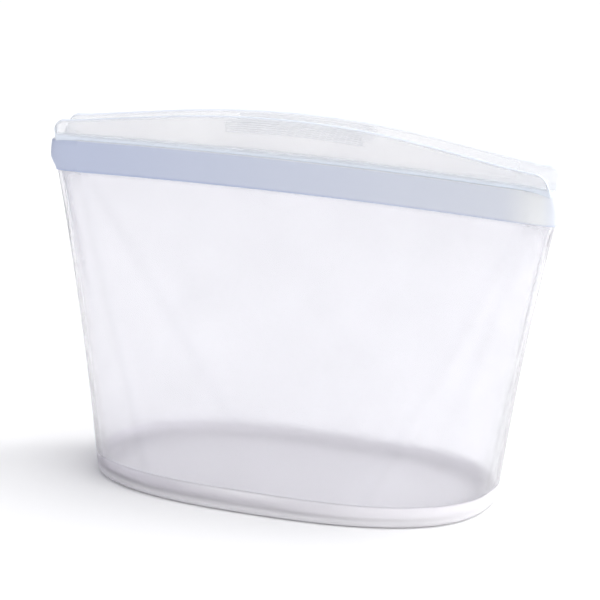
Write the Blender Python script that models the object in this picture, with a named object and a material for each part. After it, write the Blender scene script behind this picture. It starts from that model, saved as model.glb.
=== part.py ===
"""Stand-up silicone storage bag: an oval bowl base whose walls run up into a straight pinch-lock mouth.

Metres, +Z up.  X runs along the mouth, Y from front (-) to back (+).  The origin is the middle of the
underside.  The front wall, its closure strip and its lip hinge outwards about the wall's foot; the back
does the same.  A pull tab in the middle of each lip folds outwards about the top of its strip.
"""
import math

import bmesh
import bpy

# ---- driving dimensions -------------------------------------------------------------------------
BASE_HALF_LENGTH = 0.0825       # oval base, along X
BASE_HALF_DEPTH = 0.047         # oval base, along Y
BASE_ROUNDNESS = 2.48           # exponent of the superellipse: 2 is an ellipse, more is squarer
MOUTH_HALF_LENGTH = 0.1075      # to the outer end of a side seal
STRIP_FOOT = 0.1165             # height of the closure strip's lower edge at its ends
STRIP_HEIGHT = 0.013
ARCH = 0.002                    # rise of the strip's middle over its ends
WALL = 0.002                    # silicone wall thickness
FLOOR = 0.0024                  # base thickness
CLEARANCE = 0.0003              # between neighbouring pieces
SLIT = 0.0004                   # between a wall that moves and the wall beside it

# ---- base ---------------------------------------------------------------------------------------
FOOT_ROUND = 0.0025             # outer radius where the base meets the wall
INNER_ROUND = 0.003             # the same radius inside the bag
RIM_TOP = 0.008                 # the wall panels start just above this
ROUND_STEPS = 5
RING_POINTS = 56

# ---- walls --------------------------------------------------------------------------------------
TOP_STRAIGHT_HALF = 0.093       # half length of the flat part of the mouth
TOP_HALF_DEPTH = 0.0038         # outer face of a closure strip, from the middle plane
FOLD_FOOT = 0.043               # half width of a front or back panel at the floor
FOLD_TOP = 0.0952               # half width of the same panel under its closure strip
WALL_ROWS = 12
PANEL_COLUMNS = 12
GUSSET_COLUMNS = 18

# ---- closure ------------------------------------------------------------------------------------
STRIP_CROWN = 0.0003            # bulge of the strip's outer face
STRIP_STATIONS = 13
SEAL_STATIONS = 7
FACE_GAP = 0.00015              # each mating face, from the middle plane
BEAD_REACH = 0.0019             # tip of the bead, past the middle plane
BEAD_ROOT_HALF = 0.0016
BEAD_TIP_HALF = 0.0006
BEAD_WAIST = 0.62                # half height part way along, as a share of root plus tip
BEAD_WAIST_REACH = 0.66          # where that is, as a share of the reach
GROOVE_CLEARANCE = 0.00045

# ---- lips and pull tabs -------------------------------------------------------------------------
LIP_THICKNESS = 0.002
LIP_SPLAY = 0.0033              # how far a lip's top leans outwards
LIP_HALF_LENGTH = 0.1045
LIP_END_TOP = 0.138             # height of the lip's top edge near its ends
LIP_MIDDLE_RISE = 0.010
LIP_RISE_POWER = 1.3
LIP_CORNER = 0.005
TAB_HALF_LENGTH = 0.036
LIP_ROWS = 4
LIP_STATIONS = 12
TAB_FOOT = 0.1318               # straight lower edge of a pull tab
RIB_COUNT = 5
RIB_PITCH = 0.0009
RIB_HEIGHT = 0.0004
RIB_HALF_LENGTH = 0.029
RIB_TOP_MARGIN = 0.0016         # from the tab's top edge to the first rib
RIB_RUNOUT = 0.0012             # length over which a rib dies away at its ends

FRONT = -1
BACK = 1
LEFT = -1
RIGHT = 1
SIDE_NAMES = {FRONT: "front", BACK: "back"}
END_NAMES = {LEFT: "left", RIGHT: "right"}


# ---- small helpers ------------------------------------------------------------------------------
def spread(low, high, count):
    """Evenly spaced values, both ends included."""
    return [low + (high - low) * i / (count - 1) for i in range(count)]


def arch(x):
    """Rise of the closure at x over its ends."""
    return ARCH * (1.0 - (x / MOUTH_HALF_LENGTH) ** 2)


def lip_top(x):
    """Height of a lip's upper edge, with its end corner rounded off."""
    reach = LIP_HALF_LENGTH - LIP_CORNER
    inner = min(abs(x) / reach, 1.0)
    height = LIP_END_TOP + LIP_MIDDLE_RISE * (1.0 - inner ** 2) ** LIP_RISE_POWER
    past = max(abs(x) - reach, 0.0)
    return height - LIP_CORNER + math.sqrt(LIP_CORNER ** 2 - past ** 2)


def make_object(name, mesh_builder, material, hinge=None):
    """Object from a bmesh with its normals outside, smooth faces and its origin on the hinge."""
    bmesh.ops.recalc_face_normals(mesh_builder, faces=mesh_builder.faces)
    if hinge:
        bmesh.ops.translate(mesh_builder, verts=mesh_builder.verts, vec=[-c for c in hinge])
    mesh = bpy.data.meshes.new(name)
    mesh_builder.to_mesh(mesh)
    mesh_builder.free()
    mesh.shade_smooth()
    mesh.set_sharp_from_angle(angle=math.radians(35))
    mesh.materials.append(material)
    obj = bpy.data.objects.new(name, mesh)
    bpy.context.scene.collection.objects.link(obj)
    if hinge:
        obj.location = hinge
    return obj


def sheet_solid(name, outer, inner, material, hinge=None):
    """Closed solid between two grids of points with the same rows and columns."""
    builder = bmesh.new()
    rows = len(outer)
    columns = len(outer[0])
    skins = [[[builder.verts.new(p) for p in row] for row in grid] for grid in (outer, inner)]
    for skin in skins:
        for i in range(rows - 1):
            for j in range(columns - 1):
                builder.faces.new((skin[i][j], skin[i][j + 1], skin[i + 1][j + 1], skin[i + 1][j]))
    border = [(0, j) for j in range(columns)]
    border += [(i, columns - 1) for i in range(1, rows)]
    border += [(rows - 1, j) for j in range(columns - 2, -1, -1)]
    border += [(i, 0) for i in range(rows - 2, 0, -1)]
    for (i, j), (k, m) in zip(border, border[1:] + border[:1]):
        builder.faces.new((skins[0][i][j], skins[0][k][m], skins[1][k][m], skins[1][i][j]))
    return make_object(name, builder, material, hinge)


def swept_solid(name, stations, material, hinge=None):
    """Closed solid through a row of matching closed outlines."""
    builder = bmesh.new()
    loops = [[builder.verts.new(p) for p in outline] for outline in stations]
    count = len(loops[0])
    for first, second in zip(loops, loops[1:]):
        for i in range(count):
            k = (i + 1) % count
            builder.faces.new((first[i], first[k], second[k], second[i]))
    builder.faces.new(loops[0])
    builder.faces.new(loops[-1])
    return make_object(name, builder, material, hinge)


def silicone(name, colour, roughness):
    material = bpy.data.materials.new(name)
    material.use_nodes = True
    shader = material.node_tree.nodes["Principled BSDF"]
    shader.inputs["Base Color"].default_value = (*colour, 1.0)
    shader.inputs["Roughness"].default_value = roughness
    shader.inputs["Metallic"].default_value = 0.0
    material.diffuse_color = (*colour, 1.0)
    return material


# ---- the bag's wall surface ---------------------------------------------------------------------
def section(t, inset):
    """Flat half length, end length and half depth of the level cut at t, 0 at the floor, 1 at the strip."""
    flat = TOP_STRAIGHT_HALF * t
    length = (1 - t) * BASE_HALF_LENGTH + t * (MOUTH_HALF_LENGTH - TOP_STRAIGHT_HALF) - inset
    depth = (1 - t) * BASE_HALF_DEPTH + t * TOP_HALF_DEPTH - inset
    return flat, length, depth


def depth_at(x, t, inset):
    """Distance of the wall from the middle plane at x."""
    flat, length, depth = section(t, inset)
    along = max(abs(x) - flat, 0.0) / length
    return depth * (1 - along ** BASE_ROUNDNESS) ** (1 / BASE_ROUNDNESS)


def panel_half_width(t):
    return (1 - t) * FOLD_FOOT + t * FOLD_TOP


def ring(z, inset):
    """Closed loop of points round the bag at height z."""
    flat, length, depth = section(z / STRIP_FOOT, inset)
    power = 2 / BASE_ROUNDNESS
    points = []
    for i in range(RING_POINTS):
        angle = 2 * math.pi * (i + 0.5) / RING_POINTS
        c = math.cos(angle)
        s = math.sin(angle)
        x = math.copysign(flat + length * abs(c) ** power, c)
        y = math.copysign(depth * abs(s) ** power, s)
        points.append((x, y, z))
    return points


def wall_rows():
    """(t, share of the height between the rim and the strip) of each row of wall points."""
    low = (RIM_TOP + CLEARANCE) / STRIP_FOOT
    return [(low + (1 - low) * u, u) for u in spread(0.0, 1.0, WALL_ROWS)]


def wall_height(x, u):
    low = RIM_TOP + CLEARANCE
    high = STRIP_FOOT + arch(x) - CLEARANCE
    return low + (high - low) * u


# ---- pieces that stay still ---------------------------------------------------------------------
def base_pan(material):
    """Floor of the bag with its rounded foot and low upturned rim."""
    loops = []
    for i in range(ROUND_STEPS + 1):
        turn = 0.5 * math.pi * i / ROUND_STEPS
        loops.append(ring(FOOT_ROUND * (1 - math.cos(turn)), FOOT_ROUND * (1 - math.sin(turn))))
    loops.append(ring(RIM_TOP, 0.0))
    loops.append(ring(RIM_TOP, WALL))
    for i in range(ROUND_STEPS + 1):
        turn = 0.5 * math.pi * i / ROUND_STEPS
        height = FLOOR + INNER_ROUND * (1 - math.sin(turn))
        loops.append(ring(height, WALL + INNER_ROUND * (1 - math.cos(turn))))

    builder = bmesh.new()
    rings = [[builder.verts.new(p) for p in loop] for loop in loops]
    for first, second in zip(rings, rings[1:]):
        for i in range(RING_POINTS):
            k = (i + 1) % RING_POINTS
            builder.faces.new((first[i], first[k], second[k], second[i]))
    for loop, height in ((rings[0], 0.0), (rings[-1], FLOOR)):
        middle = builder.verts.new((0.0, 0.0, height))
        for i in range(RING_POINTS):
            builder.faces.new((loop[i], loop[(i + 1) % RING_POINTS], middle))
    return make_object("base_pan", builder, material)


def gusset(end, material):
    """Side wall: a cone-like sheet from the front fold round to the back fold."""
    power = 2 / BASE_ROUNDNESS

    def skin(inset):
        grid = []
        for t, u in wall_rows():
            flat, length, depth = section(t, inset)
            edge = (panel_half_width(t) + SLIT - flat) / length
            start = math.acos(edge ** (BASE_ROUNDNESS / 2))
            row = []
            for angle in spread(-start, start, GUSSET_COLUMNS):
                x = flat + length * math.cos(angle) ** power
                y = math.copysign(depth * abs(math.sin(angle)) ** power, angle)
                row.append((end * x, y, wall_height(x, u)))
            grid.append(row)
        return grid

    return sheet_solid(END_NAMES[end] + "_gusset", skin(0.0), skin(WALL), material)


def side_seal(end, material):
    """Solid end of the mouth, where the front and the back are one."""
    start = FOLD_TOP + SLIT
    reach = MOUTH_HALF_LENGTH - TOP_STRAIGHT_HALF
    stations = []
    for i in range(SEAL_STATIONS):
        share = math.sin(0.5 * math.pi * i / (SEAL_STATIONS - 1)) * 0.985
        x = start + (MOUTH_HALF_LENGTH - start) * share
        along = (x - TOP_STRAIGHT_HALF) / reach
        half = TOP_HALF_DEPTH * (1 - along ** BASE_ROUNDNESS) ** (1 / BASE_ROUNDNESS)
        crown = STRIP_CROWN * half / TOP_HALF_DEPTH
        low = STRIP_FOOT + arch(x)
        high = low + STRIP_HEIGHT
        middle = (low + high) / 2
        outline = ((-half, low), (-half - crown, middle), (-half, high),
                   (half, high), (half + crown, middle), (half, low))
        stations.append([(end * x, y, z) for y, z in outline])
    return swept_solid(END_NAMES[end] + "_side_seal", stations, material)


# ---- pieces that open ---------------------------------------------------------------------------
def mouth_hinge(side):
    """Middle of the front or back wall's foot, on its outer face."""
    height = RIM_TOP + CLEARANCE
    return (0.0, side * depth_at(0.0, height / STRIP_FOOT, 0.0), height)


def tab_hinge(side):
    return (0.0, side * TOP_HALF_DEPTH, TAB_FOOT)


def wall_panel(side, material):
    """Flat front or back wall between its two folds."""
    def skin(inset):
        grid = []
        for t, u in wall_rows():
            half = panel_half_width(t)
            row = []
            for x in spread(-half, half, PANEL_COLUMNS + 1):
                row.append((x, side * depth_at(x, t, inset), wall_height(x, u)))
            grid.append(row)
        return grid

    return sheet_solid(SIDE_NAMES[side] + "_wall", skin(0.0), skin(WALL), material, mouth_hinge(side))


def closure_strip(side, material):
    """Thick strip of the pinch lock: a groove along the front one, a bead along the back one."""
    middle = STRIP_HEIGHT / 2
    play = GROOVE_CLEARANCE if side == FRONT else 0.0
    root = BEAD_ROOT_HALF + play
    tip = BEAD_TIP_HALF + play
    reach = BEAD_REACH + play
    waist = BEAD_WAIST * (root + tip)
    waist_reach = BEAD_WAIST_REACH * reach
    lock = ((-FACE_GAP * side, middle + root), (waist_reach, middle + waist), (reach, middle + tip),
            (reach, middle - tip), (waist_reach, middle - waist), (-FACE_GAP * side, middle - root))
    outline = [(side * TOP_HALF_DEPTH, 0.0), (side * (TOP_HALF_DEPTH + STRIP_CROWN), middle),
               (side * TOP_HALF_DEPTH, STRIP_HEIGHT), (side * FACE_GAP, STRIP_HEIGHT)]
    outline += [(-y, z) for y, z in lock]
    outline.append((side * FACE_GAP, 0.0))
    stations = []
    for x in spread(-FOLD_TOP, FOLD_TOP, STRIP_STATIONS):
        foot = STRIP_FOOT + arch(x)
        stations.append([(x, y, foot + z) for y, z in outline])
    name = SIDE_NAMES[side] + "_closure_strip"
    return swept_solid(name, stations, material, mouth_hinge(side))


def side_lip(side, end, material):
    """Lip above the strip, from the pull tab to the rounded end corner."""
    start = TAB_HALF_LENGTH + SLIT

    def skin(inset):
        grid = []
        for row_share in spread(0.0, 1.0, LIP_ROWS):
            row = []
            for step in spread(0.0, 1.0, LIP_STATIONS):
                x = start + (LIP_HALF_LENGTH - start) * math.sin(0.5 * math.pi * step)
                foot = STRIP_FOOT + arch(x) + STRIP_HEIGHT + CLEARANCE
                z = foot + (lip_top(x) - foot) * row_share
                y = side * (TOP_HALF_DEPTH + LIP_SPLAY * row_share - inset)
                row.append((end * x, y, z))
            grid.append(row)
        return grid

    name = SIDE_NAMES[side] + "_lip_" + END_NAMES[end]
    return sheet_solid(name, skin(0.0), skin(LIP_THICKNESS), material, mouth_hinge(side))


def pull_tab(side, material):
    """Raised middle of a lip, with fine grip ribs along its top edge."""
    stations = [-TAB_HALF_LENGTH]
    stations += [-RIB_HALF_LENGTH - RIB_RUNOUT]
    stations += spread(-RIB_HALF_LENGTH, RIB_HALF_LENGTH, 11)
    stations += [RIB_HALF_LENGTH + RIB_RUNOUT, TAB_HALF_LENGTH]
    depths = [0.0]
    heights = [0.0]
    for i in range(RIB_COUNT):
        crest = RIB_TOP_MARGIN + RIB_PITCH * (i + 0.5)
        depths += [crest - 0.45 * RIB_PITCH, crest - 0.2 * RIB_PITCH, crest + 0.2 * RIB_PITCH,
                   crest + 0.45 * RIB_PITCH]
        heights += [0.0, RIB_HEIGHT, RIB_HEIGHT, 0.0]

    def skin(inset, ribbed):
        grid = []
        for depth, height in zip(depths, heights):
            row = []
            for x in stations:
                top = lip_top(x)
                share = (top - depth - TAB_FOOT) / (top - TAB_FOOT)
                rise = height if ribbed and abs(x) <= RIB_HALF_LENGTH else 0.0
                y = TOP_HALF_DEPTH + LIP_SPLAY * share - inset + rise
                row.append((x, side * y, top - depth))
            grid.append(row)
        grid.append([(x, side * (TOP_HALF_DEPTH - inset), TAB_FOOT) for x in stations])
        return grid

    name = SIDE_NAMES[side] + "_pull_tab"
    return sheet_solid(name, skin(0.0, True), skin(LIP_THICKNESS, False), material, tab_hinge(side))


def build():
    for obj in list(bpy.data.objects):
        bpy.data.objects.remove(obj, do_unlink=True)

    clear = silicone("clear_silicone", (0.86, 0.86, 0.91), 0.32)
    base = silicone("base_silicone", (0.80, 0.80, 0.86), 0.32)
    seal = silicone("seal_silicone", (0.62, 0.67, 0.80), 0.38)
    tab = silicone("tab_silicone", (0.84, 0.84, 0.90), 0.40)

    base_pan(base)
    for end in (LEFT, RIGHT):
        gusset(end, clear)
        side_seal(end, seal)
    for side in (FRONT, BACK):
        wall_panel(side, clear)
        closure_strip(side, seal)
        pull_tab(side, tab)
        for end in (LEFT, RIGHT):
            side_lip(side, end, clear)


build()
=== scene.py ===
import math

import bmesh
import bpy
from mathutils import Matrix, Vector, noise


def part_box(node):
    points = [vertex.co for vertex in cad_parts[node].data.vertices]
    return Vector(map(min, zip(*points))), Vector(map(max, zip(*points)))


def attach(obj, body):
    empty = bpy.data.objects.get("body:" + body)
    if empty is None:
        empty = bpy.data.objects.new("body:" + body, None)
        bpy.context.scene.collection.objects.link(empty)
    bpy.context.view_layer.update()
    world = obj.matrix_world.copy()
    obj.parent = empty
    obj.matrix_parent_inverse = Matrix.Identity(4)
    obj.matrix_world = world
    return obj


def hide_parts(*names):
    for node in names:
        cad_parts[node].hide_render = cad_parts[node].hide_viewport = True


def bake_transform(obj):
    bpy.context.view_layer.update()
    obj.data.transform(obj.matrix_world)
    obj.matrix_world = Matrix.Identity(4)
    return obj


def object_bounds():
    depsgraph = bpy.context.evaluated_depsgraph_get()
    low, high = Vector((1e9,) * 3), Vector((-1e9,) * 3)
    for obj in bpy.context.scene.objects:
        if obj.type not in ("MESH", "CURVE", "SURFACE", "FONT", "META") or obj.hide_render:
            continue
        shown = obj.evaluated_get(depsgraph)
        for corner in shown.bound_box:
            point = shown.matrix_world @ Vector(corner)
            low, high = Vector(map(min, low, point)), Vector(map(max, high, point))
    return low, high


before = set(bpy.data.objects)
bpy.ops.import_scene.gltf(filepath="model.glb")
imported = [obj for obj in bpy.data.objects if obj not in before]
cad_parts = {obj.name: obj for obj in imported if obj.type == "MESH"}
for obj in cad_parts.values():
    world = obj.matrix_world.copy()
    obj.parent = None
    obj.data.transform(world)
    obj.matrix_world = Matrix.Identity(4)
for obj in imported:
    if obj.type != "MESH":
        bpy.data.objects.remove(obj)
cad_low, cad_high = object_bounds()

# A stand-up silicone bag: an oval bowl base, two walls that meet in a straight pinch-lock mouth, and an
# arched lip above each closure strip.  Metres; X along the mouth, Y from front to back, Z up.

# ---- sizes read from the frame ------------------------------------------------------------------
RIM_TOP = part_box("base_pan")[1].z
WALL_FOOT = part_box("front_wall")[0].z
STRIP_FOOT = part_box("right_side_seal")[0].z
MOUTH_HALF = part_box("right_side_seal")[1].x
STRIP_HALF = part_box("front_closure_strip")[1].x
TAB_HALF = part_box("front_pull_tab")[1].x
TAB_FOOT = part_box("front_pull_tab")[0].z
LIP_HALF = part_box("front_lip_right")[1].x + 0.001
LIP_TOP = cad_high.z

# ---- the same shape rules as the solids ---------------------------------------------------------
BASE_HALF_LENGTH = 0.082
BASE_HALF_DEPTH = 0.047
ROUNDNESS = 2.48                # superellipse exponent of the level cuts
TOP_STRAIGHT_HALF = 0.093       # half length of the flat part of the mouth
TOP_HALF_DEPTH = 0.0038         # outer face of the walls under the strips, from the middle plane
FOLD_FOOT = 0.043               # half width of a broad wall at the floor
STRIP_HEIGHT = 0.013
ARCH = 0.002                    # rise of the strip's middle over its ends
WALL = 0.002                    # wall thickness
FLOOR = 0.0024                  # base thickness
LIP_THICKNESS = 0.002
LIP_SPLAY = 0.0033              # how far a lip's top leans outwards
LIP_END_TOP = 0.138             # height of a lip's top edge near its ends
LIP_CORNER = 0.005
LIP_RISE_POWER = 1.3

# ---- what the fine surface adds -----------------------------------------------------------------
# base
FOOT_ROUND = 0.0025             # outer radius under the wall
INNER_ROUND = 0.003             # the same radius inside the bag
FOOT_WIDTH = 0.007              # the ring that the bag stands on, round the recess
RECESS = 0.0004
RECESS_SLOPE = 0.0012

# walls
WAIST = 0.0054                  # the ends draw in a little between the base and the seal
WAIST_END = 1.25                # share of the height where the waist would end: past 1, some is left
DISH = 0.0009                   # the broad walls sink in between their folds
FOLD_RIDGE = 0.0005
FOLD_WIDTH = 0.0045
WOBBLE = 0.00035                # slow unevenness of the soft walls
WOBBLE_SIZE = 0.045
WOBBLE_APART = 0.05             # places in the noise that the front, the back and the top row read
WOBBLE_TOP = 0.11
CALM_FOOT = 0.07                # share of the height, from the floor, that has no dish, ridge or wobble

# closure strips and side seals
STRIP_PROUD = 0.0005            # the closure strips stand out from the walls
PROUD_RISE = 0.0006             # height over which a seal comes out as far as the strips
STRIP_EDGE = 0.0003             # radius of their long edges
STRIP_CROWN = 0.0001
CROWN_FOOT = 0.0012             # support row near each edge of a strip
LOCK_ROOT = 0.0016              # half height of the bead where it leaves its strip
LOCK_TIP = 0.0008               # half height of the bead at its tip
LOCK_REACH = 0.0019             # tip of the bead, past the middle plane
LOCK_PLAY = 0.00035             # how much wider and deeper the groove is
MATING_GAP = 0.00012            # from each strip's mating face to the middle plane
SEAL_TUCK = 0.0007              # the seals bulge: they draw in at the foot, and more at the top
SEAL_TOP_TUCK = 0.0010
SEAL_TUCK_END = 0.005           # height over the foot where the lower draw ends and the upper one starts
SEAL_TOP_TUCK_RISE = 0.009
SEAL_SQUARE = 2.5               # how much the seals' roundness exponent grows towards the top
SEAL_ROUND = 0.0011             # radius of a seal's top edge
LEFT_BULGE = 0.0013             # the left seal stands out further at the side
LEFT_BULGE_RISE = 0.006

# lips
SINK = 0.0002                   # how far an open edge sits inside its neighbour
EDGE_ROUND = 0.0008             # from a lip's free edge to its full thickness
LIP_UNEVEN = 0.0004             # slow unevenness at a lip's top
LIP_UNEVEN_SIZE = 0.04
LIP_UNEVEN_APART = 0.03         # place in the noise that each lip reads
LIP_END_DROP = 0.0014           # a lip's foot comes down over the falling top of the seal
LIP_DROP_START = 0.096          # distance from the middle where that starts
LIP_DROP_LENGTH = 0.007
BACK_FLARE = 0.0014             # the back lip leans out further than LIP_SPLAY, and twice that at its ends
FRONT_FLARE = 0.0022            # the front lip leans out further at its right end and less at its left end
FLARE_START = 0.060             # distance from the middle where a lip's end starts to lean otherwise
FLARE_LENGTH = 0.035
FRONT_RIGHT_START = 0.020       # the same for the right end of the front lip
FRONT_RIGHT_LENGTH = 0.070
RIB_COUNT = 6
RIB_PITCH = 0.0009
RIB_HEIGHT = 0.00014
RIB_HALF = 0.0285               # half length of the ribs
RIB_RUNOUT = 0.0025             # length over which a rib dies away
RIB_MARGIN = 0.0013             # from the tab's top edge to the first rib
RIB_SHAPE = 0.7                 # under 1 makes the ribs' crests blunter

# mesh density
WALL_ROWS = 60
PANEL_COLUMNS = 96
GUSSET_COLUMNS = 72
STRIP_STATIONS = 121
LIP_COLUMNS = 60
TAB_COLUMNS = 90
SEAL_TURNS = 40
SEAL_ROUND_ROWS = 6
EDGE_ROWS = 6                   # rows of a lip: over its rounded edge, over each rib and below the ribs
ROWS_PER_RIB = 8
LIP_FOOT_ROWS = 8
RIB_ROWS_PAST = 0.0003          # how far the close rows go on below the last rib
LOW_LIP_MARGIN = 0.001          # a lip lower than the close rows and this margin has them squeezed
LOW_LIP_SQUEEZE = 0.8
ROUND_STEPS = 8                 # rows over a quarter turn of the base's radii

FRONT = -1
BACK = 1
LEFT = -1
RIGHT = 1
SIDE_NAMES = {FRONT: "front", BACK: "back"}
END_NAMES = {LEFT: "left", RIGHT: "right"}


def smooth(value):
    """0 below 0, 1 above 1, with a soft start and end."""
    value = min(max(value, 0.0), 1.0)
    return value * value * (3 - 2 * value)


def arch(x):
    """Rise of the closure at x over its ends."""
    return ARCH * (1 - (x / MOUTH_HALF) ** 2)


def strip_foot(x):
    return STRIP_FOOT + arch(x)


def strip_top(x):
    return strip_foot(x) + STRIP_HEIGHT


def lip_top(x):
    """Height of a lip's upper edge, with its end corner rounded off."""
    reach = LIP_HALF - LIP_CORNER
    inner = min(abs(x) / reach, 1.0)
    height = LIP_END_TOP + (LIP_TOP - LIP_END_TOP) * (1 - inner ** 2) ** LIP_RISE_POWER
    past = min(max(abs(x) - reach, 0.0), LIP_CORNER)
    return height - LIP_CORNER + math.sqrt(LIP_CORNER ** 2 - past ** 2)


# ---- the wall surface ---------------------------------------------------------------------------
def section(t, inset):
    """Flat half length, end length and half depth of the level cut at t, 0 at the floor, 1 at the strip."""
    flat = TOP_STRAIGHT_HALF * t
    length = (1 - t) * BASE_HALF_LENGTH + t * (MOUTH_HALF - TOP_STRAIGHT_HALF) - inset
    length -= WAIST * t * (WAIST_END - t)
    depth = (1 - t) * BASE_HALF_DEPTH + t * TOP_HALF_DEPTH - inset
    return flat, length, depth


def panel_half(t):
    return (1 - t) * FOLD_FOOT + t * STRIP_HALF


def relief(x, y_sign, t):
    """How far the soft wall stands out from its ruled shape at x."""
    fade = math.sin(math.pi * min(max((t - CALM_FOOT) / (1 - CALM_FOOT), 0.0), 1.0))
    half = panel_half(t)
    across = min(abs(x) / half, 1.0)
    out = -DISH * fade * (1 - across ** 2) ** 2
    out += FOLD_RIDGE * fade * math.exp(-((abs(x) - half) / FOLD_WIDTH) ** 2)
    point = Vector((x, y_sign * WOBBLE_APART, t * WOBBLE_TOP)) / WOBBLE_SIZE
    return out + WOBBLE * fade * noise.noise(point)


def depth_at(x, t, inset):
    flat, length, depth = section(t, inset)
    along = min(max(abs(x) - flat, 0.0) / length, 1.0)
    return depth * (1 - along ** ROUNDNESS) ** (1 / ROUNDNESS)


def height_at(x, t):
    """Height of the row t at x: the rows lie level at the rim and follow the arch under the strip."""
    low_t = RIM_TOP / STRIP_FOOT
    share = (t - low_t) / (1 - low_t)
    return t * STRIP_FOOT + (arch(x) + SINK) * max(share, 0.0) ** 2


def panel_row(side, t, inset, columns):
    """Points along the front or back wall between its folds, from left to right."""
    half = panel_half(t)
    row = []
    for i in range(columns + 1):
        x = half * (2 * i / columns - 1)
        y = side * (depth_at(x, t, inset) + relief(x, side, t))
        row.append((x, y, height_at(x, t)))
    return row


def gusset_row(end, t, inset, columns):
    """Points round a side wall, from the front fold to the back fold."""
    flat, length, depth = section(t, inset)
    power = 2 / ROUNDNESS
    start = math.acos(min((panel_half(t) - flat) / length, 1.0) ** (ROUNDNESS / 2))
    row = []
    for i in range(columns + 1):
        angle = start * (2 * i / columns - 1)
        turn = abs(math.sin(angle)) ** power
        x = flat + length * max(math.cos(angle), 0.0) ** power
        lift = relief(x, math.copysign(1, angle), t) * smooth(turn * 1.5)
        y = math.copysign(depth * turn + lift, angle)
        row.append((end * x, y, height_at(x, t)))
    return row


def outline(t, inset):
    """The whole level cut as one closed loop, counter-clockwise seen from above."""
    loop = panel_row(FRONT, t, inset, PANEL_COLUMNS)
    loop += gusset_row(RIGHT, t, inset, GUSSET_COLUMNS)[1:]
    loop += panel_row(BACK, t, inset, PANEL_COLUMNS)[::-1][1:]
    loop += gusset_row(LEFT, t, inset, GUSSET_COLUMNS)[::-1][1:-1]
    return loop


# ---- mesh helpers -------------------------------------------------------------------------------
def finish_mesh(name, builder, material):
    """Turns the builder into a smooth object without doubled points."""
    bmesh.ops.remove_doubles(builder, verts=builder.verts, dist=1e-6)
    bmesh.ops.dissolve_degenerate(builder, edges=builder.edges, dist=1e-7)
    mesh = bpy.data.meshes.new(name)
    builder.to_mesh(mesh)
    builder.free()
    mesh.shade_smooth()
    mesh.materials.append(material)
    obj = bpy.data.objects.new(name, mesh)
    bpy.context.scene.collection.objects.link(obj)
    return obj


def add_grid(builder, grid, flip):
    """Faces over a grid of points.  flip turns them over."""
    verts = [[builder.verts.new(p) for p in row] for row in grid]
    for low, high in zip(verts, verts[1:]):
        for i in range(len(low) - 1):
            quad = (low[i], low[i + 1], high[i + 1], high[i])
            builder.faces.new(quad[::-1] if flip else quad)
    return verts


def skin_pair(name, outer, inner, material):
    """A wall as an outer and an inner skin, open where it runs on into its neighbours."""
    row = len(outer) // 2
    column = len(outer[0]) // 2
    here = Vector(outer[row][column])
    across = Vector(outer[row][column + 1]) - here
    along = Vector(outer[row + 1][column]) - here
    flip = across.cross(along).dot(here - Vector(inner[row][column])) < 0
    builder = bmesh.new()
    add_grid(builder, outer, flip)
    add_grid(builder, inner, not flip)
    return finish_mesh(name, builder, material)


def add_rings(builder, loops, closed=True):
    """Faces between loops of matching points.  Returns the loops as vertices."""
    rings = [[builder.verts.new(p) for p in loop] for loop in loops]
    count = len(rings[0])
    for low, high in zip(rings, rings[1:]):
        for i in range(count if closed else count - 1):
            k = (i + 1) % count
            builder.faces.new((low[i], low[k], high[k], high[i]))
    return rings


def add_fan(builder, ring, centre):
    """Faces from a ring of vertices to a new vertex in its middle."""
    middle = builder.verts.new(centre)
    for i, vert in enumerate(ring):
        builder.faces.new((vert, ring[(i + 1) % len(ring)], middle))


def loft(name, loops, material, bottom=None, top=None, closed=True):
    """Loops of matching points joined in order, with a fan at either end that has a centre."""
    first = [Vector(p) for p in loops[0]]
    count = len(first)
    centre = sum(first, Vector()) / count
    i = max(range(count), key=lambda k: (first[k] - centre).length)
    face = (first[(i + 1) % count] - first[i]).cross(Vector(loops[1][i]) - first[i])
    if face.dot(first[i] - centre) < 0:
        loops = [loop[::-1] for loop in loops]
    builder = bmesh.new()
    rings = add_rings(builder, loops, closed)
    if bottom is not None:
        add_fan(builder, rings[0][::-1], bottom)
    if top is not None:
        add_fan(builder, rings[-1], top)
    return finish_mesh(name, builder, material)


# ---- materials ----------------------------------------------------------------------------------
CLOUD_SCALE = 30.0              # slow variation of the tint
CLOUD_DARK = 0.965              # darkest and lightest tint, as shares of the colour
CLOUD_LIGHT = 1.02
CLOUD_SPAN = (0.15, 0.85)       # where on the noise these two lie
CLOUD_DETAIL = 4.0
SATIN_SCALE = 160.0             # fine variation of roughness and height
SATIN_ROUGHNESS = 0.06          # how far the roughness goes up and down
SATIN_DETAIL = 3.0
SATIN_STRENGTH = 0.25
SATIN_HEIGHT = 0.0002


def add_noise(material, scale, detail):
    """A noise texture fixed to the object."""
    nodes = material.node_tree.nodes
    place = nodes.new("ShaderNodeTexCoord")
    texture = nodes.new("ShaderNodeTexNoise")
    texture.inputs["Scale"].default_value = scale
    texture.inputs["Detail"].default_value = detail
    material.node_tree.links.new(place.outputs["Object"], texture.inputs["Vector"])
    return texture


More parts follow.
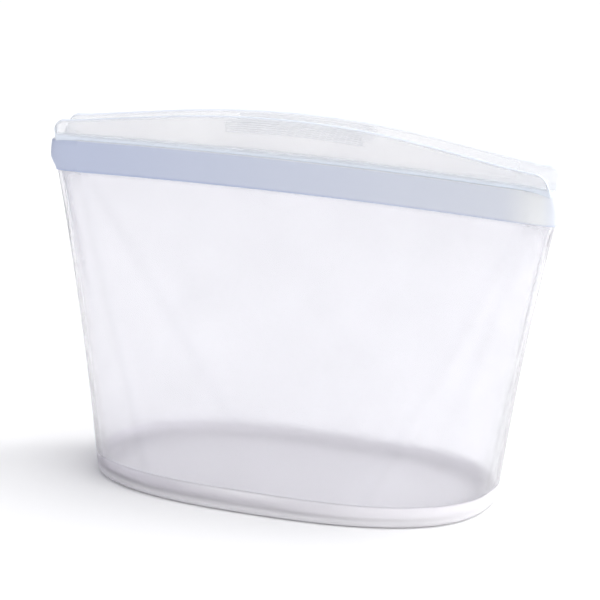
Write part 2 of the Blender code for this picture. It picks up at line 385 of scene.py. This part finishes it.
def silicone(name, bend, colour, density_and_painted_light_colour, haze, density_and_painted_light_haze, roughness):
    """Milky translucent silicone.

    haze is how much of what is behind one skin is veiled; it rises to the second haze given, and the colour
    goes to the second colour given, where the mesh's attribute marks denser silicone and, in places,
    painted shade and painted light.
    """
    material = bpy.data.materials.new(name)
    material.use_nodes = True
    nodes = material.node_tree.nodes
    links = material.node_tree.links
    shader = nodes["Principled BSDF"]
    shader.inputs["Metallic"].default_value = 0.0
    shader.inputs["IOR"].default_value = bend
    density_and_painted_light = nodes.new("ShaderNodeAttribute")
    density_and_painted_light.attribute_name = "density_and_painted_light"

    clouds = add_noise(material, CLOUD_SCALE, CLOUD_DETAIL)
    tint = nodes.new("ShaderNodeValToRGB")
    dark, light = tint.color_ramp.elements
    dark.position, light.position = CLOUD_SPAN
    dark.color = (*[c * CLOUD_DARK for c in colour], 1.0)
    light.color = (*[min(c * CLOUD_LIGHT, 1.0) for c in colour], 1.0)
    links.new(clouds.outputs["Fac"], tint.inputs["Fac"])
    shade = nodes.new("ShaderNodeMix")
    shade.data_type = "RGBA"
    shade.inputs["B"].default_value = (*density_and_painted_light_colour, 1.0)
    links.new(density_and_painted_light.outputs["Fac"], shade.inputs["Factor"])
    links.new(tint.outputs["Color"], shade.inputs["A"])
    links.new(shade.outputs["Result"], shader.inputs["Base Color"])

    satin = add_noise(material, SATIN_SCALE, SATIN_DETAIL)
    rough = nodes.new("ShaderNodeMapRange")
    rough.inputs["To Min"].default_value = roughness - SATIN_ROUGHNESS
    rough.inputs["To Max"].default_value = roughness + SATIN_ROUGHNESS
    links.new(satin.outputs["Fac"], rough.inputs["Value"])
    links.new(rough.outputs["Result"], shader.inputs["Roughness"])
    bump = nodes.new("ShaderNodeBump")
    bump.inputs["Strength"].default_value = SATIN_STRENGTH
    bump.inputs["Distance"].default_value = SATIN_HEIGHT
    links.new(satin.outputs["Fac"], bump.inputs["Height"])
    links.new(bump.outputs["Normal"], shader.inputs["Normal"])

    passed = nodes.new("ShaderNodeMapRange")
    passed.inputs["To Min"].default_value = 1 - haze
    passed.inputs["To Max"].default_value = 1 - density_and_painted_light_haze
    links.new(density_and_painted_light.outputs["Fac"], passed.inputs["Value"])
    links.new(passed.outputs["Result"], shader.inputs["Transmission Weight"])
    return material


WALL_COLOUR = (0.959, 0.956, 0.976)
# painted shade colour of the walls' folds and of the band under the closure
WALL_PAINTED_SHADE = (0.74, 0.75, 0.86)
# colour of the gussets' dense tips, which the walls' painted shade also goes to on the gussets
GUSSET_TIP_AND_SHADE = (0.95, 0.95, 0.99)
LIP_COLOUR = (0.982, 0.980, 0.997)
LIP_DENSE = (0.85, 0.905, 0.985)
BASE_COLOUR = (0.93, 0.91, 0.955)
# colour of the base's dense floor and foot, and of the painted light on the right of the rim
BASE_DENSE_AND_LIT = (0.998, 0.985, 1.0)
SEAL_COLOUR = (0.97, 0.988, 1.0)
# the strips' own dense blue, which also carries the painted shade along them
SEAL_DENSE_AND_SHADE = (0.49, 0.555, 0.75)
# columns after the two colours: haze, haze where the attribute is full, roughness; the second colour and
# haze stand for denser silicone and, in places, for painted shade and painted light
CLEAR = silicone("clear_silicone", 1.25, WALL_COLOUR, WALL_PAINTED_SHADE, 0.07, 0.60, 0.22)
GUSSET = silicone("gusset_silicone", 1.25, WALL_COLOUR, GUSSET_TIP_AND_SHADE, 0.07, 0.85, 0.22)
LIP = silicone("lip_silicone", 1.38, LIP_COLOUR, LIP_DENSE, 0.14, 0.85, 0.22)
BASE = silicone("base_silicone", 1.25, BASE_COLOUR, BASE_DENSE_AND_LIT, 0.20, 1.00, 0.34)
SEAL = silicone("seal_silicone", 1.30, SEAL_COLOUR, SEAL_DENSE_AND_SHADE, 0.86, 0.95, 0.32)


# ---- where the silicone looks denser, and where shade and light are painted, from 0 to 1 --------
# In these functions the numbers are shares of the densest look, places along an axis, lengths over
# which a share fades and, for the closure's body, a slope per metre.
def paint_density_and_light(piece, share):
    """Writes how dense the silicone looks at each point, together with the painted shade and painted light
    on the same value.
    """
    attribute = piece.data.attributes.new("density_and_painted_light", "FLOAT", "POINT")
    attribute.data.foreach_set("value", [share(v.co) for v in piece.data.vertices])


def lip_thick(co):
    """Lips look denser along the free edge, on the ribs and at the left end.

    The front one is also denser at its foot, and the back one towards its right end.
    """
    drop = lip_top(co.x) - co.z
    edge = math.exp(-(max(min(drop, LIP_HALF - abs(co.x)), 0.0) / 0.0007) ** 2)
    ribs = 0.35 * (rib_height(co.x, drop) / RIB_HEIGHT) ** 4
    foot = smooth((strip_top(co.x) + 0.0030 - co.z) / 0.0022)
    ends = 0.10 * smooth((-co.x - 0.098) / 0.004)
    if co.y > 0:
        foot *= 0.15
        ends += 0.18 * smooth((co.x - 0.050) / 0.045)
    return min(edge + foot + ribs + ends, 1.0)


def wall_painted_shade(co):
    """Walls are painted darker along the folds and just under the closure: painted shade in the creases and
    under the strip.
    """
    # painted shade: a faint dark line along each fold
    fold = 0.04 * math.exp(-((abs(co.x) - panel_half(co.z / STRIP_FOOT)) / 0.003) ** 2)
    # painted shade: a dark band just under the closure strip
    under = 0.25 * smooth(1 - (strip_foot(co.x) - co.z) / 0.0015)
    return fold + under


def gusset_tip_and_shade(co):
    """Gussets take the walls' painted shade at the folds and under the closure, and look denser where they
    narrow to a tip under the seal.
    """
    tip = 0.5 * math.exp(-(co.y / 0.0022) ** 2) * smooth((co.z / STRIP_FOOT - 0.5) / 0.35)
    return min(wall_painted_shade(co) + tip, 1.0)


def base_density_and_light(co):
    """The floor is densest, then the foot; the low rim above it is painted lighter towards the right, where
    the light comes from, and clears towards the left.
    """
    reach = (abs(co.x) / BASE_HALF_LENGTH) ** ROUNDNESS + (abs(co.y) / BASE_HALF_DEPTH) ** ROUNDNESS
    floor = smooth((0.95 - reach) / 0.15)
    foot = 0.6 * smooth((FLOOR + INNER_ROUND - co.z) / 0.003)
    # painted light: the rim is lighter and hazier towards the right and darker towards the left, as the
    # light falls from the right
    rim = 0.55 * smooth((co.x + 0.04) / 0.10)
    return max(floor, foot, rim)


def closure_density_and_light(co):
    """The closure's dense blue is painted darker to the left and fades to the right as painted shade, with
    a painted shade line low down, a denser very right end and a painted lighter top.
    """
    # partly the strips' own dense blue, partly painted shade: darker to the left and fading out towards the
    # right end, as the light falls from the right
    body = min(0.8 - 2.5 * (co.x + 0.09), 0.8) * (1 - smooth((co.x - 0.084) / 0.016))
    # painted light: the top of the strips is clearer and lighter, against the shade between the lips
    body *= 0.2 + 0.8 * smooth((strip_top(co.x) - co.z) / 0.0005)
    # painted shade: a dark line along the lower edge of the strips
    line = 0.4 * smooth(1 - (co.z - strip_foot(co.x)) / 0.0011)
    end = 0.30 * smooth((co.x - 0.1010) / 0.005)
    return min(line + body + end, 1.0)


# ---- shares by which the soft pieces would follow the joints ------------------------------------
TAB_MARGIN = 0.0002             # the part of the mouth that moves as one reaches just past the tab
WALL_BEND = 0.014               # height over which a wall's foot bends
TAB_BEND = 0.007                # height over which a tab's foot bends
TAB_FULL = 0.30                 # share of a tab's half width that folds as one
TAB_FADE = 0.68                 # share over which the fold then dies away


def mouth_share(x, z):
    """Share of the mouth's opening that a point takes: all in the middle, none at the folds and foot."""
    edge = panel_half(min(z / STRIP_FOOT, 1.0))
    flat = TAB_HALF * edge / STRIP_HALF + TAB_MARGIN
    across = 1 - smooth((abs(x) - flat) / (edge - flat))
    return across * smooth((z - WALL_FOOT) / WALL_BEND)


def tab_share(x, z):
    """Share of the tab's fold that a point takes: none along its foot and its two ends."""
    across = 1 - smooth((abs(x) - TAB_FULL * TAB_HALF) / (TAB_FADE * TAB_HALF))
    return across * smooth((z - TAB_FOOT) / TAB_BEND)


def follow(piece, share):
    """Bakes the piece's placement into its mesh and works out a share for each point, which is not kept."""
    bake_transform(piece)
    values = [share(v.co.x, v.co.z) for v in piece.data.vertices]


# ---- pieces that stay still ---------------------------------------------------------------------
def level_loop(height, inset):
    """The outline at a height, drawn in by inset."""
    return [(x, y, height) for x, y, _ in outline(height / STRIP_FOOT, inset)]


def shrunk_loop(share, height, inset):
    """The floor's outline scaled towards its middle, at a height."""
    return [(x * share, y * share, height) for x, y, _ in outline(0.0, inset)]


def base_pan():
    """Floor with a crisp foot, a shallow recess underneath and a low rim that the walls run on from."""
    outer = [shrunk_loop(share, RECESS, FOOT_WIDTH) for share in (0.25, 0.5, 0.75, 0.92, 1.0)]
    recess_rows = 4
    for step in range(1, recess_rows + 1):
        fall = 0.5 - 0.5 * math.cos(math.pi * step / recess_rows)
        inset = FOOT_WIDTH - RECESS_SLOPE * step / recess_rows
        outer.append(shrunk_loop(1, RECESS * (1 - fall), inset))
    for step in range(ROUND_STEPS + 1):
        turn = 0.5 * math.pi * step / ROUND_STEPS
        outer.append(level_loop(FOOT_ROUND * (1 - math.cos(turn)), FOOT_ROUND * (1 - math.sin(turn))))
    rim_rows = 5
    for step in range(1, rim_rows + 1):
        outer.append(level_loop(FOOT_ROUND + (RIM_TOP - FOOT_ROUND) * step / rim_rows, 0.0))

    inner = [level_loop(height, WALL) for height in (RIM_TOP, (RIM_TOP + FLOOR + INNER_ROUND) / 2)]
    for step in range(ROUND_STEPS + 1):
        turn = 0.5 * math.pi * step / ROUND_STEPS
        height = FLOOR + INNER_ROUND * (1 - math.sin(turn))
        inner.append(level_loop(height, WALL + INNER_ROUND * (1 - math.cos(turn))))
    inner += [shrunk_loop(share, FLOOR, WALL + INNER_ROUND) for share in (0.9, 0.7, 0.45, 0.2)]

    builder = bmesh.new()
    rings = add_rings(builder, outer)
    add_fan(builder, rings[0][::-1], (0.0, 0.0, RECESS))
    rings = add_rings(builder, inner)
    add_fan(builder, rings[-1], (0.0, 0.0, FLOOR))
    piece = finish_mesh("base_floor", builder, BASE)
    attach(piece, "root")
    paint_density_and_light(piece, base_density_and_light)
    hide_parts("base_pan")


def wall_steps():
    """The rows of a wall, from the rim up to the strip."""
    low = RIM_TOP / STRIP_FOOT
    return [low + (1 - low) * i / WALL_ROWS for i in range(WALL_ROWS + 1)]


def gusset(end):
    """One side wall between the front fold and the back fold."""
    outer = [gusset_row(end, t, 0.0, GUSSET_COLUMNS) for t in wall_steps()]
    inner = [gusset_row(end, t, WALL, GUSSET_COLUMNS) for t in wall_steps()]
    name = END_NAMES[end] + "_gusset"
    piece = skin_pair(name + "_wall", outer, inner, GUSSET)
    paint_density_and_light(piece, gusset_tip_and_shade)
    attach(piece, "root")
    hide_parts(name)


def seal_loop(end, height, inset):
    """Level cut through a side seal at a height over its foot, from the front strip to the back strip."""
    reach = MOUTH_HALF - TOP_STRAIGHT_HALF - inset
    reach -= SEAL_TUCK * (1 - smooth(height / SEAL_TUCK_END))
    reach -= SEAL_TOP_TUCK * smooth((height - SEAL_TUCK_END) / SEAL_TOP_TUCK_RISE)
    if end == LEFT:
        reach += LEFT_BULGE * smooth(height / LEFT_BULGE_RISE)
    half = TOP_HALF_DEPTH + STRIP_PROUD * smooth(height / PROUD_RISE) - inset
    half += STRIP_CROWN * (1 - abs(2 * height / STRIP_HEIGHT - 1))
    power = ROUNDNESS + SEAL_SQUARE * smooth(height / STRIP_HEIGHT)
    first = math.acos(min((STRIP_HALF - TOP_STRAIGHT_HALF) / reach, 1.0) ** (power / 2))
    points = []
    for i in range(SEAL_TURNS + 1):
        angle = first * (2 * i / SEAL_TURNS - 1)
        x = TOP_STRAIGHT_HALF + reach * math.cos(angle) ** (2 / power)
        y = math.copysign(half * abs(math.sin(angle)) ** (2 / power), angle)
        points.append((end * x, y, strip_foot(x) + height))
    return points


def side_seal(end):
    """Solid welded end of the mouth, with a rounded top edge."""
    loops = []
    for level in (0.0, 0.03, 0.08, 0.15, 0.25, 0.4, 0.55, 0.7, 0.8):
        loops.append(seal_loop(end, STRIP_HEIGHT * level, 0.0))
    for step in range(1, SEAL_ROUND_ROWS + 1):
        turn = 0.5 * math.pi * step / SEAL_ROUND_ROWS
        height = STRIP_HEIGHT - SEAL_ROUND * (1 - math.sin(turn))
        loops.append(seal_loop(end, height, SEAL_ROUND * (1 - math.cos(turn))))
    middle = (STRIP_HALF + MOUTH_HALF) / 2
    piece = loft(END_NAMES[end] + "_seal_block", loops, SEAL, bottom=(end * middle, 0, strip_foot(middle)),
                 top=(end * middle, 0, strip_top(middle)), closed=False)
    piece.data.set_sharp_from_angle(angle=math.radians(50))
    paint_density_and_light(piece, closure_density_and_light)
    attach(piece, "root")
    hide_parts(END_NAMES[end] + "_side_seal")


# ---- pieces that open on the real bag -----------------------------------------------------------
def wall_panel(side):
    """The broad front or back wall."""
    outer = [panel_row(side, t, 0.0, PANEL_COLUMNS) for t in wall_steps()]
    inner = [panel_row(side, t, WALL, PANEL_COLUMNS) for t in wall_steps()]
    name = SIDE_NAMES[side] + "_wall"
    piece = skin_pair(name + "_sheet", outer, inner, CLEAR)
    paint_density_and_light(piece, wall_painted_shade)
    follow(piece, mouth_share)
    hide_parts(name)


def rounded(corners, radius, steps=4):
    """Closed outline through corners, each rounded off, with a support point on either side of it."""
    points = []
    count = len(corners)
    for i in range(count):
        here = Vector(corners[i])
        before = Vector(corners[i - 1]) - here
        after = Vector(corners[(i + 1) % count]) - here
        cut = min(radius, 0.4 * before.length, 0.4 * after.length)
        first = here + before.normalized() * cut
        last = here + after.normalized() * cut
        points.append(tuple(here + before.normalized() * cut * 1.2))
        for step in range(steps + 1):
            s = step / steps
            points.append(tuple(first * (1 - s) ** 2 + here * 2 * s * (1 - s) + last * s ** 2))
        points.append(tuple(here + after.normalized() * cut * 1.2))
    return points


def strip_profile(side):
    """Cut across a closure strip as (distance outwards, height): the front one has the groove."""
    middle = STRIP_HEIGHT / 2
    play = LOCK_PLAY if side == FRONT else 0.0
    root = LOCK_ROOT + play
    tip = LOCK_TIP + play
    reach = (LOCK_REACH + play) * (1 if side == FRONT else -1)
    face = TOP_HALF_DEPTH + STRIP_PROUD
    bulge = STRIP_CROWN * CROWN_FOOT / middle
    corners = [(face, 0.0), (face + bulge, CROWN_FOOT), (face + STRIP_CROWN, middle),
               (face + bulge, STRIP_HEIGHT - CROWN_FOOT), (face, STRIP_HEIGHT),
               (MATING_GAP, STRIP_HEIGHT), (MATING_GAP, middle + root), (reach, middle + tip),
               (reach, middle - tip), (MATING_GAP, middle - root), (MATING_GAP, 0.0)]
    return rounded(corners, STRIP_EDGE)


def closure_strip(side):
    """Thick strip with a soft crown: a groove along the front one, a round bead along the back one."""
    profile = strip_profile(side)
    loops = []
    for i in range(STRIP_STATIONS):
        x = STRIP_HALF * (2 * i / (STRIP_STATIONS - 1) - 1)
        loops.append([(x, side * y, strip_foot(x) + z) for y, z in profile])
    name = SIDE_NAMES[side] + "_closure_strip"
    piece = loft(name + "_moulding", loops, SEAL)
    paint_density_and_light(piece, closure_density_and_light)
    follow(piece, mouth_share)
    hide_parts(name)


def edge_profile(distance):
    """Thickness of a rounded edge, as a share of the full thickness, at a distance from the edge."""
    short = 1 - min(max(distance, 0.0) / EDGE_ROUND, 1.0)
    return math.sqrt(1 - short ** 2)


def lip_depths(height):
    """Distances below a lip's top edge of its rows: close together at the rounded edge and the ribs."""
    rib_end = RIB_MARGIN + RIB_COUNT * RIB_PITCH + RIB_ROWS_PAST
    steps = RIB_COUNT * ROWS_PER_RIB
    squeeze = 1.0
    if height < rib_end + LOW_LIP_MARGIN:
        squeeze = height / (rib_end + LOW_LIP_MARGIN) * LOW_LIP_SQUEEZE
    depths = [EDGE_ROUND * (1 - math.cos(0.5 * math.pi * i / EDGE_ROWS)) for i in range(EDGE_ROWS)]
    depths += [EDGE_ROUND + (rib_end - EDGE_ROUND) * i / steps * squeeze for i in range(steps + 1)]
    low = depths[-1]
    depths += [low + (height - low) * i / LIP_FOOT_ROWS for i in range(1, LIP_FOOT_ROWS + 1)]
    return depths


def rib_height(x, depth):
    """Height of the grip ribs at a distance below the tab's top edge."""
    along = smooth((RIB_HALF + RIB_RUNOUT - abs(x)) / RIB_RUNOUT)
    turn = (depth - RIB_MARGIN) / RIB_PITCH
    if turn < 0 or turn > RIB_COUNT:
        return 0.0
    return RIB_HEIGHT * along * (0.5 - 0.5 * math.cos(2 * math.pi * turn)) ** RIB_SHAPE


def lip_splay(side, x):
    """How far a lip's top leans outwards: the lips flare apart most at the right end."""
    if side == BACK:
        return LIP_SPLAY + BACK_FLARE + BACK_FLARE * smooth((abs(x) - FLARE_START) / FLARE_LENGTH)
    right = smooth((x - FRONT_RIGHT_START) / FRONT_RIGHT_LENGTH)
    left = smooth((-x - FLARE_START) / FLARE_LENGTH)
    return LIP_SPLAY + FRONT_FLARE * (right - left)


def lip_sheets(side, columns, is_tab):
    """Outer and inner skin of a lip over the given columns: a tab has ribs, the others a rounded end."""
    outer = []
    inner = []
    for x in columns:
        foot = strip_top(x) - SINK
        foot -= LIP_END_DROP * smooth((abs(x) - LIP_DROP_START) / LIP_DROP_LENGTH)
        top = lip_top(x)
        outer_line = []
        inner_line = []
        for depth in lip_depths(top - foot):
            z = top - depth
            share = (z - foot) / (top - foot)
            middle = TOP_HALF_DEPTH - LIP_THICKNESS / 2 + lip_splay(side, x) * share
            point = Vector((x, side * LIP_UNEVEN_APART, z)) / LIP_UNEVEN_SIZE
            middle += LIP_UNEVEN * noise.noise(point) * share
            half = LIP_THICKNESS / 2 * edge_profile(depth)
            if not is_tab:
                half *= edge_profile(LIP_HALF - abs(x))
            rise = rib_height(x, depth) if is_tab else 0.0
            outer_line.append((x, side * (middle + half + rise), z))
            inner_line.append((x, side * (middle - half), z))
        outer.append(outer_line)
        inner.append(inner_line)
    return outer, inner


def side_lip(side, end):
    """The lip beside a tab, with its columns closest together at its rounded end."""
    columns = []
    for i in range(LIP_COLUMNS + 1):
        along = math.sin(0.5 * math.pi * i / LIP_COLUMNS)
        columns.append(end * (TAB_HALF + (LIP_HALF - TAB_HALF) * along))
    outer, inner = lip_sheets(side, columns, is_tab=False)
    name = SIDE_NAMES[side] + "_lip_" + END_NAMES[end]
    piece = skin_pair(name + "_sheet", outer, inner, LIP)
    paint_density_and_light(piece, lip_thick)
    follow(piece, mouth_share)
    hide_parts(name)


def pull_tab(side):
    """The middle of a lip, with its grip ribs."""
    columns = [TAB_HALF * (2 * i / TAB_COLUMNS - 1) for i in range(TAB_COLUMNS + 1)]
    outer, inner = lip_sheets(side, columns, is_tab=True)
    name = SIDE_NAMES[side] + "_pull_tab"
    piece = skin_pair(name + "_sheet", outer, inner, LIP)
    paint_density_and_light(piece, lip_thick)
    follow(piece, tab_share)
    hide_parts(name)


# ---- stage, light and camera --------------------------------------------------------------------
FLOOR_DROP = 0.0002             # the floor lies just under the bag's foot
FLOOR_WHITE = 0.95
WORLD_BRIGHT_SIDE = (0.90, 0.25, 0.34)
WORLD_DARK = (0.10, 0.10, 0.12)
WORLD_STRENGTH = 2.05
KEY_PLACE = (0.40, 0.30, 0.95)
KEY_AIM = (0.0, 0.0, 0.07)


def stage():
    """Plain pale floor, in a studio that is bright on the right and dim on the left."""
    bpy.ops.mesh.primitive_plane_add(size=8.0, location=(0, 1.0, -FLOOR_DROP))
    floor = bpy.context.object
    floor.name = "studio_floor"
    material = bpy.data.materials.new("studio_floor")
    material.use_nodes = True
    shader = material.node_tree.nodes["Principled BSDF"]
    shader.inputs["Base Color"].default_value = (FLOOR_WHITE, FLOOR_WHITE, FLOOR_WHITE, 1)
    shader.inputs["Roughness"].default_value = 0.9
    shader.inputs["Specular IOR Level"].default_value = 0.1
    floor.data.materials.append(material)

    world = bpy.data.worlds.new("studio")
    world.use_nodes = True
    nodes = world.node_tree.nodes
    links = world.node_tree.links
    background = nodes["Background"]
    place = nodes.new("ShaderNodeTexCoord")
    toward = nodes.new("ShaderNodeVectorMath")
    toward.operation = "DOT_PRODUCT"
    toward.inputs[1].default_value = Vector(WORLD_BRIGHT_SIDE).normalized()
    links.new(place.outputs["Generated"], toward.inputs[0])
    ramp = nodes.new("ShaderNodeValToRGB")
    dark, bright = ramp.color_ramp.elements
    dark.position = 0.0
    dark.color = (*WORLD_DARK, 1)
    bright.position = 1.0
    bright.color = (1, 1, 1, 1)
    span = nodes.new("ShaderNodeMapRange")
    span.inputs["From Min"].default_value = -0.4
    span.inputs["From Max"].default_value = 1.0
    links.new(toward.outputs["Value"], span.inputs["Value"])
    links.new(span.outputs["Result"], ramp.inputs["Fac"])
    links.new(ramp.outputs["Color"], background.inputs["Color"])
    background.inputs["Strength"].default_value = WORLD_STRENGTH
    bpy.context.scene.world = world


def camera():
    """A long lens at the right of the bag's front, looking a little down."""
    yaw = math.radians(24.09)
    tilt = math.radians(15.05)
    roll = math.radians(0.74)
    distance = 1.391
    target = Vector((0.0008, 0.0002, 0.0748))
    look = Vector((-math.sin(yaw) * math.cos(tilt), math.cos(yaw) * math.cos(tilt), -math.sin(tilt)))
    right = Vector((math.cos(yaw), math.sin(yaw), 0.0))
    up = right.cross(look)
    turn = Matrix((right, up, -look)).transposed() @ Matrix.Rotation(roll, 3, "Z")
    data = bpy.data.cameras.new("camera")
    data.lens = 212.7
    data.sensor_width = 36.0
    data.clip_start = 0.01
    data.clip_end = 50.0
    cam = bpy.data.objects.new("camera", data)
    cam.matrix_world = Matrix.Translation(target - look * distance) @ turn.to_4x4()
    bpy.context.scene.collection.objects.link(cam)
    bpy.context.scene.camera = cam


def lights():
    """A broad soft key on the right and behind, which leaves a soft contact shadow in front on the left."""
    data = bpy.data.lights.new("key", "AREA")
    data.shape = "DISK"
    data.size = 0.4
    data.energy = 2.5
    lamp = bpy.data.objects.new("key", data)
    place = Vector(KEY_PLACE)
    aim = Vector(KEY_AIM) - place
    lamp.matrix_world = Matrix.Translation(place) @ aim.to_track_quat("-Z", "Y").to_matrix().to_4x4()
    bpy.context.scene.collection.objects.link(lamp)


def build():
    """The camera, the stage and every piece of the bag."""
    camera()
    stage()
    lights()
    base_pan()
    for end in (LEFT, RIGHT):
        gusset(end)
        side_seal(end)
    for side in (FRONT, BACK):
        wall_panel(side)
        closure_strip(side)
        pull_tab(side)
        for end in (LEFT, RIGHT):
            side_lip(side, end)
    bpy.context.scene.view_settings.view_transform = "Standard"


build()
